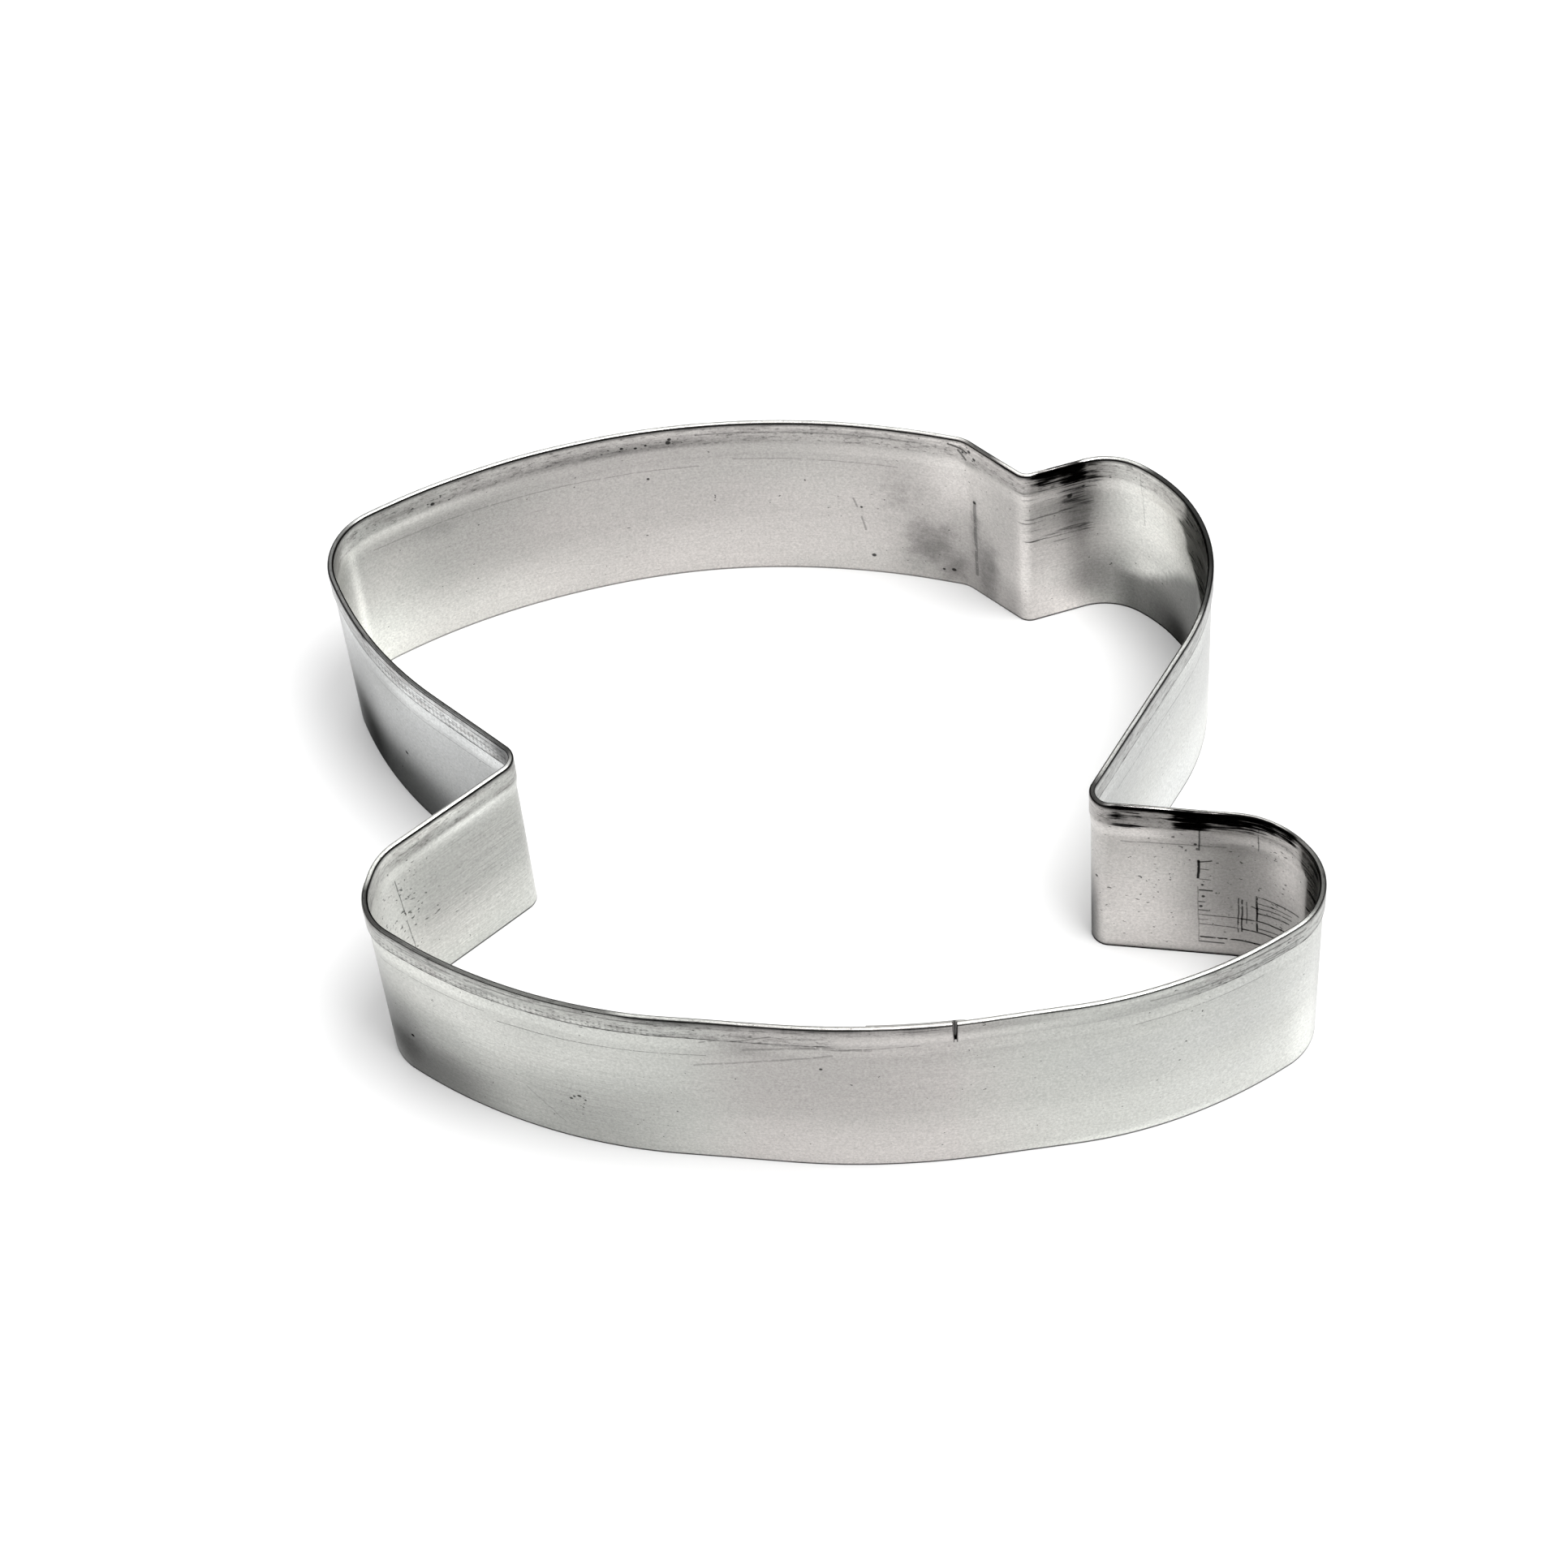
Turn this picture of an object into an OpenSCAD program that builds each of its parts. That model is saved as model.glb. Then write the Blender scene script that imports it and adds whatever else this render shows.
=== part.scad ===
// Teacup cookie cutter: one steel strip, hemmed along its top and bent to the outline of a cup
// on its saucer. Seen from above, the saucer lies towards -Y, the rim of the cup towards +Y and
// the handle towards +X. The plain cutting edge stands on z = 0 and the hem is on top.

/* [Strip] */

// Depth of the strip, from the cutting edge to the top of the hem
strip_depth = 25; // [15:0.5:40]
// Thickness of the sheet
gauge = 0.3; // [0.2:0.05:0.6]

/* [Hem] */

// Width of the folded hem, from the top of the fold to the raw edge
hem_width = 3; // [2:0.1:5]
// Space left between the two layers of the hem
hem_gap = 0.1; // [0.05:0.05:0.3]
// Height over which the wall steps inwards, just below the raw edge
step_height = 2.2; // [0.4:0.1:4]
// Clearance between the raw edge and the top of the step
edge_clear = 0.1; // [0.05:0.05:0.4]

/* [Seam] */

// Distance of the seam from the right end of the bend that holds it
seam_back = 3.8; // [1:0.1:8]
// Width of the slit between the two ends of the hem, at the top
slit_top = 0.5; // [0.3:0.1:1.5]
// Width of that slit at its foot
slit_foot = 0.2; // [0.1:0.05:1]
// Length of the inner end, which laps behind the outer one
lap_length = 9; // [5:0.5:12]
// Drop from the top of the hem to the top of the lap
lap_drop = 0.4; // [0.4:0.1:4]
// Radius on which the lap turns out to join the wall beyond the seam
lap_bend = 5; // [2:0.5:8]
// Diameter of a spot weld's dimple
weld_diameter = 2.6; // [1.5:0.1:4]
// Depth of that dimple
weld_sink = 0.12; // [0.05:0.01:0.15]
// Number of spot welds up the lap
weld_count = 3; // [1:1:4]

/* [Cup: x and y of each corner of the outline, then its bend radius] */

// Where the right wall of the cup meets the saucer
foot_right = [29.4, -13.2, 1.9]; // [-80:0.1:100]
// Where the right wall swings out into the handle
handle_root = [42.8, 12.6, 27]; // [-80:0.1:100]
// Outermost corner of the handle
handle_bow = [44.7, 28.1, 17.5]; // [-80:0.1:100]
// Top of the handle
handle_top = [33.3, 36.6, 7.2]; // [-80:0.1:100]
// Notch between the handle and the rim
rim_notch = [23.1, 33, 1.6]; // [-80:0.1:100]
// Right lip of the rim
lip_right = [16.3, 38.8, 3.7]; // [-80:0.1:100]
// Crown of the long arc of the rim
rim_crown = [-20.5, 47.9, 80]; // [-80:0.1:100]
// Left lip of the rim
lip_left = [-56, 25, 8]; // [-80:0.1:100]
// Belly of the left wall
belly_left = [-48.9, 8.7, 44]; // [-80:0.1:100]
// Where the left wall of the cup meets the saucer
foot_left = [-30.4, -6.7, 1.9]; // [-80:0.1:100]

/* [Saucer: x and y of each corner of the outline, then its bend radius] */

// Upper corner of the left end
left_end_upper = [-44.4, -19.8, 7]; // [-80:0.1:100]
// Lower corner of the left end
left_end_lower = [-45.8, -27.3, 6.2]; // [-80:0.1:100]
// Left bend of the underside
base_left = [-28.8, -39.2, 60]; // [-80:0.1:100]
// Middle bend of the underside, which holds the seam
base_middle = [9.5, -42.5, 85]; // [-80:0.1:100]
// Right bend of the underside
base_right = [40.4, -37.2, 52]; // [-80:0.1:100]
// Lower corner of the right end
right_end_lower = [56.8, -25.2, 7.2]; // [-80:0.1:100]
// Upper corner of the right end
right_end_upper = [49.8, -15.4, 10]; // [-80:0.1:100]

/* [Hidden] */

$fa = 4;
$fs = 0.25;

steel = [0.72, 0.72, 0.73];

// The corners in order, anticlockwise from above, so that outwards is to the right of the path.
corners = [
    base_middle, base_right, right_end_lower, right_end_upper,
    foot_right, handle_root, handle_bow, handle_top, rim_notch, lip_right,
    rim_crown, lip_left, belly_left, foot_left,
    left_end_upper, left_end_lower, base_left
];
count = len(corners);
all = [0:count - 1];
seam_bend = 0;

function after(i) = (i + 1) % count;
function before(i) = (i + count - 1) % count;
function point(i) = [corners[i][0], corners[i][1]];
function along(angle) = [cos(angle), sin(angle)];
function half_turn_wrap(angle) = angle > 180 ? angle - 360 : angle <= -180 ? angle + 360 : angle;

// Length and heading of the edge that leaves each corner, and the turn there, plus to the left.
edge = [for (i = all) point(after(i)) - point(i)];
heading = [for (i = all) atan2(edge[i][1], edge[i][0])];
turn = [for (i = all) half_turn_wrap(heading[i] - heading[before(i)])];

// A bend takes this much of the edge on each side. Where two bends want more than their edge has,
// both give way in proportion, so that a short straight always stays between them.
most_of_edge = 0.99;
wanted = [for (i = all) corners[i][2] * tan(abs(turn[i]) / 2)];
share = [for (i = all) min(1, most_of_edge * norm(edge[i]) / (wanted[i] + wanted[after(i)]))];
reach = [for (i = all) wanted[i] * min(share[i], share[before(i)])];
radius = [for (i = all) reach[i] / tan(abs(turn[i]) / 2)];

bend_start = [for (i = all) point(i) - reach[i] * along(heading[before(i)])];
bend_end = [for (i = all) point(i) + reach[i] * along(heading[i])];
bend_centre = [for (i = all) bend_start[i] + radius[i] * along(heading[before(i)] + 90 * sign(turn[i]))];

// The hem, with both its layers and the gap between them, is centred on the wall.
hem_half = gauge + hem_gap / 2;
step_in = (gauge + hem_gap) / 2;
fold_z = strip_depth - hem_half;
raw_edge_z = strip_depth - hem_width;
step_top = raw_edge_z - edge_clear;
step_foot = step_top - step_height;
step_facets = 4;

// The seam and its lap, as angles round the bend that holds them.
seam_angle = turn[seam_bend] - seam_back / radius[seam_bend] * 180 / PI;
lap_angle = lap_length / radius[seam_bend] * 180 / PI;
lap_top = strip_depth - lap_drop;

// The lap's own bend has its centre outside the wall, at this distance from the seam bend's. The
// turn is the angle at which the two middles meet, taken halfway up the step.
lap_bend_at = radius[seam_bend] - gauge + lap_bend;
wall_side = radius[seam_bend] - step_in / 2;
lap_side = lap_bend + step_in / 2;
lap_turn = acos((pow(lap_bend_at, 2) + pow(lap_side, 2) - pow(wall_side, 2)) / (2 * lap_bend_at * lap_side));

// The middle of the outline's box. Only a left bend reaches it: at its ends, or where it faces
// along an axis.
box_points = [
    for (i = all) if (turn[i] > 0)
        let (from = heading[before(i)] - 90, to = from + turn[i])
            for (a = concat([from, to], [for (q = [-360:90:360]) if (q > from && q < to) q]))
                bend_centre[i] + (radius[i] + hem_half) * along(a)
];
xs = [for (p = box_points) p[0]];
ys = [for (p = box_points) p[1]];
middle = [min(xs) + max(xs), min(ys) + max(ys), 0] / 2;

// The stretches are joined at this many times under their size and then brought back up. Rounding
// in the place of a stretch is then far less than the tolerance at which two ends count as one.
joining = 1000;

cutter_band();

// Offset of the wall's middle at height z: it leans inwards, on a soft curve, below the hem.
function lean(z) =
    z <= step_foot ? 0
    : z >= step_top ? -step_in
    : -step_in * (1 - cos(180 * (z - step_foot) / step_height)) / 2;

// Section of a sheet that follows the wall: x is outwards, y is up. Its inner face stands inset
// inside the inner face of the wall.
module sheet_section(top, inset, thickness) {
    levels = concat([0], [for (k = [0:step_facets]) step_foot + step_height * k / step_facets], [top]);
    inner_face = [for (z = levels) [lean(z) - gauge / 2 - inset, z]];
    outer_face = [for (p = inner_face) [p[0] + thickness, p[1]]];
    last = len(levels) - 1;
    polygon(concat(outer_face, [for (k = [0:last]) inner_face[last - k]]));
}

// Section of the strip: the wall runs up into the inner layer, over the fold and down to the raw edge.
module strip_section() {
    sheet_section(fold_z, 0, gauge);
    translate([hem_gap / 2, raw_edge_z]) square([gauge, fold_z - raw_edge_z]);
    translate([0, fold_z]) difference() {
        circle(r = hem_half);
        circle(r = hem_gap / 2);
        translate([-hem_half, -2 * hem_half]) square(2 * hem_half);
    }
}

module place(p, angle) {
    translate([p[0], p[1], 0] / joining) rotate(angle) scale(1 / joining) children();
}

// A section pushed back from p, against the given heading.
module straight(p, angle, length) {
    place(p, angle - 90) rotate([90, 0, 0]) linear_extrude(length) children();
}

module bend(i) {
    left = turn[i] > 0;
    place(bend_centre[i], left ? heading[before(i)] - 90 : heading[i] + 90)
        rotate_extrude(angle = abs(turn[i])) translate([radius[i], 0]) mirror([left ? 0 : 1, 0]) strip_section();
}

// Places things at an angle round the bend that holds the seam: x is outwards, y is along the
// strip, and the origin is the bend's centre.
module on_seam_bend(angle) {
    place(bend_centre[seam_bend], heading[before(seam_bend)] - 90 + angle) children();
}

module seam_slit() {
    on_seam_bend(seam_angle) translate([radius[seam_bend] - 2 * hem_half, 0, 0]) rotate([90, 0, 90])
        linear_extrude(4 * hem_half) polygon([
            [-slit_foot / 2, step_top],
            [slit_foot / 2, step_top],
            [slit_top / 2, strip_depth + 1],
            [-slit_top / 2, strip_depth + 1]
        ]);
}

// The inner end of the strip, left unfolded, behind the outer end. Beyond the seam it turns out on
// its own bend until its middle meets the wall's.
module lap() {
    on_seam_bend(seam_angle - lap_angle) rotate_extrude(angle = lap_angle)
        translate([radius[seam_bend], 0]) sheet_section(lap_top, gauge, gauge);
    on_seam_bend(seam_angle) translate([lap_bend_at, 0, 0]) rotate(180 - lap_turn)
        rotate_extrude(angle = lap_turn) translate([lap_bend, 0]) mirror([1, 0])
            translate([gauge, 0]) sheet_section(lap_top, gauge, gauge);
}

// A shallow dimple in the inner face of the lap, pressed in by a spot weld.
module weld_dimple(z) {
    ball = (pow(weld_diameter / 2, 2) + pow(weld_sink, 2)) / (2 * weld_sink);
    lap_face = radius[seam_bend] - 1.5 * gauge;
    on_seam_bend(seam_angle - lap_angle / 2) translate([lap_face + weld_sink - ball, 0, z]) sphere(r = ball, $fn = 160);
}

module cutter_band() {
    color(steel) translate(-middle) scale(joining) difference() {
        union() {
            difference() {
                for (i = all) {
                    straight(bend_start[after(i)], heading[i], norm(bend_start[after(i)] - bend_end[i])) strip_section();
                    bend(i);
                }
                seam_slit();
            }
            lap();
        }
        for (k = [1:weld_count]) weld_dimple(step_foot * (k - 0.5) / weld_count);
    }
}
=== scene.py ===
"""Teacup cookie cutter: a hemmed steel strip on a pale studio floor. The strip is laid out in millimetres."""

import math

import bpy
import numpy as np
from mathutils import Matrix, Vector


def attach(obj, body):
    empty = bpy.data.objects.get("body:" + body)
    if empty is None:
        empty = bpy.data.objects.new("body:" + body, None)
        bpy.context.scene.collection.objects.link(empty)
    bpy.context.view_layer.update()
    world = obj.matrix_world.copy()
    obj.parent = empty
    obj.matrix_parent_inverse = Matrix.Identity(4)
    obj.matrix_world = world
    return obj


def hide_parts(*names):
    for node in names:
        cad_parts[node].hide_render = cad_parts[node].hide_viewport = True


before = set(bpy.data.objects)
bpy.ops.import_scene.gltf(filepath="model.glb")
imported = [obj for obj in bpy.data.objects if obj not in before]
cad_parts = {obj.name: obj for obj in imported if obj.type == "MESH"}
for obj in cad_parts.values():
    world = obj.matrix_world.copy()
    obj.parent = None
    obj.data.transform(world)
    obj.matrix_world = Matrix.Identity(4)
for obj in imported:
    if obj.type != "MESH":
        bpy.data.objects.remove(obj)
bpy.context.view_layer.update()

MM = 0.001

# The strip, with the same values as in the CAD part

DEPTH = 25.0
GAUGE = 0.3
HEM_WIDTH = 3.0
HEM_GAP = 0.1
STEP_HEIGHT = 2.2
EDGE_CLEAR = 0.1

SEAM_BACK = 3.8
SLIT_TOP = 0.5
SLIT_FOOT = 0.2
LAP_LENGTH = 9.0
LAP_DROP = 0.4
LAP_BEND = 5.0
WELD_RADIUS = 1.3
WELD_SINK = 0.12
WELD_COUNT = 3

# x, y and bend radius of each corner, anticlockwise from above, starting at the bend with the seam
CORNERS = [
    (9.5, -42.5, 85), (40.4, -37.2, 52), (56.8, -25.2, 7.2), (49.8, -15.4, 10),
    (29.4, -13.2, 1.9), (42.8, 12.6, 27), (44.7, 28.1, 17.5), (33.3, 36.6, 7.2), (23.1, 33, 1.6),
    (16.3, 38.8, 3.7), (-20.5, 47.9, 80), (-56, 25, 8), (-48.9, 8.7, 44), (-30.4, -6.7, 1.9),
    (-44.4, -19.8, 7), (-45.8, -27.3, 6.2), (-28.8, -39.2, 60),
]
MOST_OF_EDGE = 0.99  # the bends at its two ends take no more of an edge

HEM_HALF = GAUGE + HEM_GAP / 2
STEP_IN = (GAUGE + HEM_GAP) / 2
FOLD_Z = DEPTH - HEM_HALF
RAW_EDGE_Z = DEPTH - HEM_WIDTH
STEP_TOP = RAW_EDGE_Z - EDGE_CLEAR
STEP_FOOT = STEP_TOP - STEP_HEIGHT
LAP_TOP = DEPTH - LAP_DROP
WELDS = [STEP_FOOT * (k + 0.5) / WELD_COUNT for k in range(WELD_COUNT)]

# How finely the strip is meshed

PITCH = 0.8  # along the strip
BEND_DEGREES = 3.0  # round a bend
SHORTEST = 0.02  # between two sections
WALL_PITCH = 0.9  # up the plain wall
LAP_PITCH = 0.3  # along and up the lap
NEXT_TO_SLIT = 0.31  # from the seam to the first whole section, just past the slit
CLEAR_OF_SLIT = 0.5  # from there on, the sections stand as elsewhere
EDGE_ROUNDING = 0.02  # taken off both faces at a sheared edge
LAP_CLEARANCE = 0.01  # between the wall and its lap
SHARP_DEGREES = 38
ROUNDING = 1e-6


# The outline

class Outline:
    """The centre line as arcs and straights, measured by its length s from the seam, anticlockwise."""

    def __init__(self):
        points = [np.array(corner[:2], float) for corner in CORNERS]
        count = len(points)
        after = [(i + 1) % count for i in range(count)]
        edge = [points[after[i]] - points[i] for i in range(count)]
        heading = [math.atan2(e[1], e[0]) for e in edge]
        turn = [(heading[i] - heading[i - 1] + math.pi) % (2 * math.pi) - math.pi for i in range(count)]
        wanted = [CORNERS[i][2] * math.tan(abs(turn[i]) / 2) for i in range(count)]
        share = [
            min(1, MOST_OF_EDGE * np.hypot(*edge[i]) / (wanted[i] + wanted[after[i]])) for i in range(count)
        ]
        reach = [wanted[i] * min(share[i], share[i - 1]) for i in range(count)]
        along = [np.array([math.cos(h), math.sin(h)]) for h in heading]
        starts = [points[i] - reach[i] * along[i - 1] for i in range(count)]
        ends = [points[i] + reach[i] * along[i] for i in range(count)]

        self.pieces = []  # length, start point, heading there, and radius: plus to the left, None if straight
        for i in range(count):
            radius = math.copysign(reach[i] / math.tan(abs(turn[i]) / 2), turn[i])
            self.pieces.append((abs(radius * turn[i]), starts[i], heading[i - 1], radius))
            straight = float(np.hypot(*(starts[after[i]] - ends[i])))
            self.pieces.append((straight, ends[i], heading[i], None))
        self.breaks = np.concatenate([[0], np.cumsum([piece[0] for piece in self.pieces])])
        self.total = float(self.breaks[-1])
        self.seam = self.pieces[0][0] - SEAM_BACK
        self.middle = np.zeros(2)
        line = self.place(np.linspace(0, self.total, 20001))[0]
        self.middle = (line.min(0) + line.max(0)) / 2

    def place(self, s):
        """Points and outward normals at the lengths s past the seam."""
        s = (np.asarray(s, float) + self.seam) % self.total
        which = np.clip(np.searchsorted(self.breaks, s, "right") - 1, 0, len(self.pieces) - 1)
        points, normals = np.empty((len(s), 2)), np.empty((len(s), 2))
        for k in np.unique(which):
            here = which == k
            _, start, heading, radius = self.pieces[k]
            past = s[here] - self.breaks[k]
            if radius is None:
                points[here] = start + past[:, None] * np.array([math.cos(heading), math.sin(heading)])
                angle = np.full(len(past), heading)
            else:
                centre = start + radius * np.array([-math.sin(heading), math.cos(heading)])
                angle = heading + past / radius
                points[here] = centre + radius * np.stack([np.sin(angle), -np.cos(angle)], 1)
            normals[here] = np.stack([np.sin(angle), -np.cos(angle)], 1)
        return points - self.middle, normals

    def stations(self):
        """Lengths from the seam right round to it, closer together round a tight bend."""
        cuts = [0.0, self.total]
        for lap in (-1, 0, 1):
            for k, (length, _, _, radius) in enumerate(self.pieces):
                start = self.breaks[k] - self.seam + lap * self.total
                steps = math.ceil(length / PITCH)
                if radius is not None:
                    steps = max(steps, math.ceil(math.degrees(length / abs(radius)) / BEND_DEGREES))
                cuts += [start + length * j / steps for j in range(steps)]
        kept = [0.0]
        for cut in sorted(cuts):
            if cut - kept[-1] > SHORTEST and self.total - cut > SHORTEST:
                kept.append(cut)
        return np.array(kept + [self.total])


OUTLINE = Outline()


# Sections of the sheet, as offsets from the centre line (outwards is plus) and heights

def lean(z):
    """The offset of the wall's middle at height z."""
    t = np.clip((np.asarray(z, float) - STEP_FOOT) / STEP_HEIGHT, 0, 1)
    return -STEP_IN * (1 - np.cos(np.pi * t)) / 2


def rungs_between(low, high, count):
    """That many even steps from low to high, without low itself."""
    return list(np.linspace(low, high, count + 1)[1:])


def wall_middle(top, pitch=WALL_PITCH):
    """Middle line of the plain wall up to a height, with closer rungs at its foot for the edge's marks."""
    foot = [0.0, 0.06, 0.3, 0.55]
    z = foot + rungs_between(foot[-1], STEP_FOOT, round(STEP_FOOT / pitch))
    z += rungs_between(STEP_FOOT, STEP_TOP - 0.02, 10) + [STEP_TOP] + rungs_between(STEP_TOP, top, 8)
    return np.stack([lean(z), z], 1)


def hemmed_middle():
    """Middle line of the whole sheet, over the fold to the raw edge, and how far it has turned outwards."""
    up = wall_middle(FOLD_Z)
    a = np.linspace(0, np.pi, 15)[1:]
    over = np.stack([-STEP_IN * np.cos(a), FOLD_Z + STEP_IN * np.sin(a)], 1)
    z = rungs_between(FOLD_Z, RAW_EDGE_Z + 0.05, 8) + [RAW_EDGE_Z]
    down = np.stack([np.full(len(z), STEP_IN), z], 1)
    facing = np.concatenate([np.zeros(len(up)), a / np.pi, np.ones(len(z))])
    return np.concatenate([up, over, down]), facing


def sides_of(middle):
    """The two faces of a sheet with that middle line. The first is towards the cutter's inside."""
    path = np.gradient(middle, axis=0)
    path /= np.hypot(path[:, 0], path[:, 1])[:, None]
    left = np.stack([-path[:, 1], path[:, 0]], 1)
    half = np.full(len(middle), GAUGE / 2)
    half[[0, -1]] -= EDGE_ROUNDING
    return middle + left * half[:, None], middle - left * half[:, None]


# Small faults of a hand-bent strip

FOOT_WAVE, BELLY_WAVE, HEM_DIP = 0.05, 0.03, 0.02
SEAM_DROP, SEAM_REACH = 0.07, 1.5  # one end of the hem sits a little low at the seam


def waves(s, seed, longest, count=5):
    """A smooth closed curve of about unit size along the strip."""
    rng = np.random.default_rng(seed)
    total = np.zeros_like(s)
    for _ in range(count):
        k = max(1, round(OUTLINE.total / (longest * rng.uniform(0.4, 1.0))))
        size = rng.uniform(0.5, 1.0)
        total += size * np.sin(2 * np.pi * k * s / OUTLINE.total + rng.uniform(0, 2 * np.pi))
    return total / math.sqrt(count)


def faults(s, z):
    """Sideways and downward shifts of the sheet at length s and height z."""
    low = 1 - np.clip(z / DEPTH, 0, 1)
    side = FOOT_WAVE * waves(s, 3, 60) * low + BELLY_WAVE * waves(s, 4, 22) * np.sin(np.pi * low)
    down = HEM_DIP * (1 + np.clip(waves(s, 5, 18), -1, 1))
    down += SEAM_DROP * np.exp(-np.clip(s, 0, None) / SEAM_REACH)
    return side, down * np.clip((z - STEP_TOP) / 2, 0, 1)


# Meshes

def sheet_mesh(middle, stations, facing=None, closed=False, set_in=None):
    """A sheet swept along the outline. A closed one's ends meet at the seam, below its slit.

    Returns its points, its faces, and each point's length, height and share turned outwards.
    """
    rungs = len(middle)
    section = np.concatenate(sides_of(middle))
    count = len(stations)
    z = np.tile(section[:, 1], (count, 1))
    s = np.repeat(np.asarray(stations, float)[:, None], 2 * rungs, 1)
    if closed:
        slit = np.interp(z[0], [STEP_TOP, DEPTH], [SLIT_FOOT, SLIT_TOP]) / 2 * (z[0] >= STEP_TOP - ROUNDING)
        s[0] += slit
        s[-1] -= slit
    s, z = s.ravel(), z.ravel()
    face = np.tile(np.repeat([0, 1], rungs), count)
    points, normals = OUTLINE.place(s)
    side, down = faults(s, z)
    offset = np.tile(section[:, 0], count) + side
    if set_in:
        offset += set_in(s, z, face)
    co = np.column_stack([points + normals * offset[:, None], z - down * (z > 0)]) * MM

    def at(station, rung, side_face):
        return station * 2 * rungs + side_face * rungs + rung

    faces = []
    last, top = count - 1, rungs - 1
    for i in range(last):
        k = i + 1
        for j in range(top):
            faces.append((at(i, j, 0), at(i, j + 1, 0), at(k, j + 1, 0), at(k, j, 0)))
            faces.append((at(i, j, 1), at(k, j, 1), at(k, j + 1, 1), at(i, j + 1, 1)))
        faces.append((at(i, 0, 0), at(k, 0, 0), at(k, 0, 1), at(i, 0, 1)))
        faces.append((at(i, top, 0), at(i, top, 1), at(k, top, 1), at(k, top, 0)))
    # the end faces, which a closed strip has only along its slit
    foot = int(np.argmax(middle[:, 1] >= STEP_TOP - ROUNDING)) - 1 if closed else 0
    for j in range(foot, top):
        faces.append((at(0, j, 0), at(0, j, 1), at(0, j + 1, 1), at(0, j + 1, 0)))
        faces.append((at(last, j, 0), at(last, j + 1, 0), at(last, j + 1, 1), at(last, j, 1)))
    turned = np.zeros(rungs) if facing is None else facing
    out = np.tile(np.concatenate([turned, np.ones(rungs)]), count)
    return co, faces, s, z, out


def lap_set_in(s, z, face):
    """The offset of the lap from the wall. Beyond the seam it turns out into the wall."""
    radius = LAP_BEND + STEP_IN / 2
    past = np.clip(s, 0, radius)
    stand = radius - np.sqrt(radius ** 2 - past ** 2) - GAUGE - LAP_CLEARANCE
    stand = np.where(face == 1, np.minimum(stand, -GAUGE / 2), stand)
    ball = (WELD_RADIUS ** 2 + WELD_SINK ** 2) / (2 * WELD_SINK)
    for height in WELDS:
        away = np.hypot(s + LAP_LENGTH / 2, z - height)
        dimple = np.sqrt(np.maximum(ball ** 2 - away ** 2, 0)) - ball + WELD_SINK
        stand = stand + np.where(face == 0, np.maximum(dimple, 0), 0)
    return stand


def make_object(name, sheets, material):
    """One object from several sheets, with the layers that its material reads at each point."""
    faces, start = [], 0
    for sheet in sheets:
        faces += [tuple(v + start for v in f) for f in sheet[1]]
        start += len(sheet[0])
    me = bpy.data.meshes.new(name)
    me.from_pydata(np.concatenate([sheet[0] for sheet in sheets]).tolist(), [], faces)
    s, z, out = (np.concatenate([sheet[k] for sheet in sheets]) for k in (2, 3, 4))
    for key, value in surface_layers(s, z, out).items():
        me.attributes.new(key, "FLOAT", "POINT").data.foreach_set("value", value.astype(np.float32))
    me.update()
    for polygon in me.polygons:
        polygon.use_smooth = True
    me.set_sharp_from_angle(angle=math.radians(SHARP_DEGREES))
    me.materials.append(material)
    ob = bpy.data.objects.new(name, me)
    bpy.context.scene.collection.objects.link(ob)
    return ob
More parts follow.
